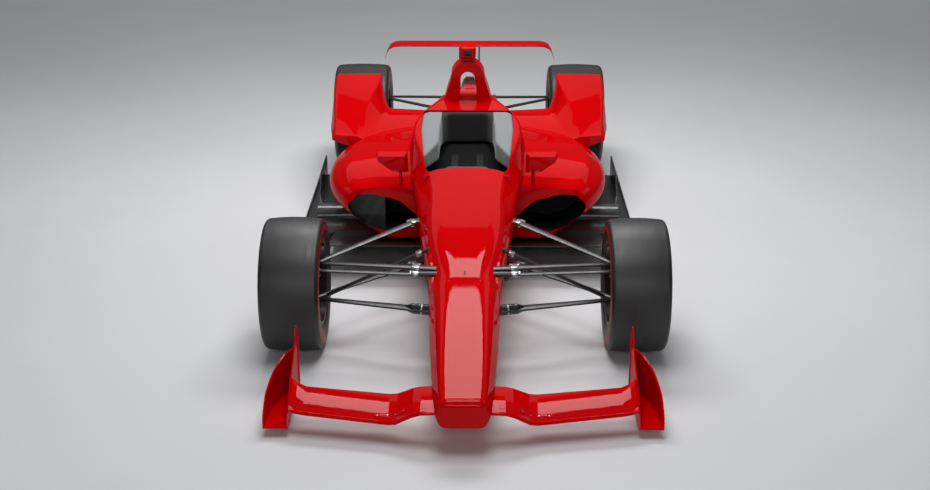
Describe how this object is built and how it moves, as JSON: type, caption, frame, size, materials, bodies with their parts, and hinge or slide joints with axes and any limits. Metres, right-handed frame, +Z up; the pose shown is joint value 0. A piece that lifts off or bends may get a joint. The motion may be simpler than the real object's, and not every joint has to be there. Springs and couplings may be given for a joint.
{
  "type": "open wheel racing car",
  "caption": "Single-seat open wheel racing car for high speed ovals: long nose, small wings, side pods, slick tyres and a front axle that steers.",
  "frame": {"origin": "on the ground, at the centre of the car's outline seen from above", "axes": "+Z up, the nose points to -Y, +X is the driver's left"},
  "size_m": [1.994, 5.12, 1.1219],
  "materials": {
    "red_paint": "gloss",
    "carbon": "satin",
    "black_enamel": "gloss",
    "grey_foam": "matte",
    "black_foam": "matte",
    "core_aluminium": "satin",
    "cast_aluminium": "satin",
    "machined_aluminium": "satin",
    "red_lens": "gloss",
    "exhaust_steel": "satin",
    "slick_rubber": "matte",
    "wheel_metal": "satin",
    "disc_steel": "satin"
  },
  "bodies": {
    "chassis": {"nose_cone": "red_paint", "monocoque": "red_paint", "roll_hoop": "red_paint", "camera_pod": "red_paint", "head_pads": "grey_foam", "seat": "black_foam", "mirrors": "red_paint", "sidepod_left": "red_paint", "sidepod_right": "red_paint", "radiators": "core_aluminium", "intake_blank_right": "carbon", "engine_cover": "red_paint", "engine": "cast_aluminium", "gearbox": "cast_aluminium", "floor": "carbon", "turning_vanes": "carbon", "front_wing": "red_paint", "front_endplates": "red_paint", "rear_wheel_ramp_left": "red_paint", "rear_wheel_ramp_right": "red_paint", "rear_wing": "red_paint", "wing_pylons": "carbon", "rear_attenuator": "carbon", "rear_light": "red_lens", "exhausts": "exhaust_steel", "front_wishbones": "black_enamel", "front_pushrods": "black_enamel", "rear_wishbones": "black_enamel", "rear_pushrods": "black_enamel", "rear_uprights": "machined_aluminium"},
    "steering_wheel": {"steering_wheel": "carbon"},
    "steering_rack": {"steering_rack": "black_enamel"},
    "knuckle_left": {"knuckle_left": "machined_aluminium"},
    "wheel_front_left": {"tyre_front_left": "slick_rubber", "rim_front_left": "wheel_metal", "brake_disc_front_left": "disc_steel"},
    "wheel_rear_left": {"tyre_rear_left": "slick_rubber", "rim_rear_left": "wheel_metal", "driveshaft_left": "disc_steel"},
    "knuckle_right": {"knuckle_right": "machined_aluminium"},
    "wheel_front_right": {"tyre_front_right": "slick_rubber", "rim_front_right": "wheel_metal", "brake_disc_front_right": "disc_steel"},
    "wheel_rear_right": {"tyre_rear_right": "slick_rubber", "rim_rear_right": "wheel_metal", "driveshaft_right": "disc_steel"}
  },
  "joints": [
    {"name": "steer_left", "type": "hinge", "parent": "chassis", "child": "knuckle_left", "pos_m": [0.748, -1.44, 0.25], "axis": [-0.1081, 0, 0.9941], "range_deg": [-16, 16]},
    {"name": "steer_right", "type": "hinge", "parent": "chassis", "child": "knuckle_right", "pos_m": [-0.748, -1.44, 0.25], "axis": [0.1081, 0, 0.9941], "range_deg": [-16.5, 16.5]},
    {"name": "rack_travel", "type": "slide", "parent": "chassis", "child": "steering_rack", "axis": [1, 0, 0], "range_m": [-0.03, 0.03]},
    {"name": "steering_wheel_turn", "type": "hinge", "parent": "chassis", "child": "steering_wheel", "pos_m": [0, -0.515, 0.556], "axis": [0, 0.9703, 0.2419], "range_deg": [-145, 145]},
    {"name": "spin_front_left", "type": "hinge", "parent": "knuckle_left", "child": "wheel_front_left", "pos_m": [0.819, -1.44, 0.326], "axis": [1, 0, 0], "continuous": true},
    {"name": "spin_front_right", "type": "hinge", "parent": "knuckle_right", "child": "wheel_front_right", "pos_m": [-0.819, -1.44, 0.326], "axis": [1, 0, 0], "continuous": true},
    {"name": "spin_rear_left", "type": "hinge", "parent": "chassis", "child": "wheel_rear_left", "pos_m": [0.714, 1.61, 0.352], "axis": [1, 0, 0], "continuous": true},
    {"name": "spin_rear_right", "type": "hinge", "parent": "chassis", "child": "wheel_rear_right", "pos_m": [-0.714, 1.61, 0.352], "axis": [1, 0, 0], "continuous": true}
  ],
  "couplings": [
    {"joint": "steer_right", "follows": "steer_left", "ratio": 1},
    {"joint": "rack_travel", "follows": "steer_left", "m_per_rad": 0.105},
    {"joint": "steering_wheel_turn", "follows": "steer_left", "ratio": 9}
  ]
}
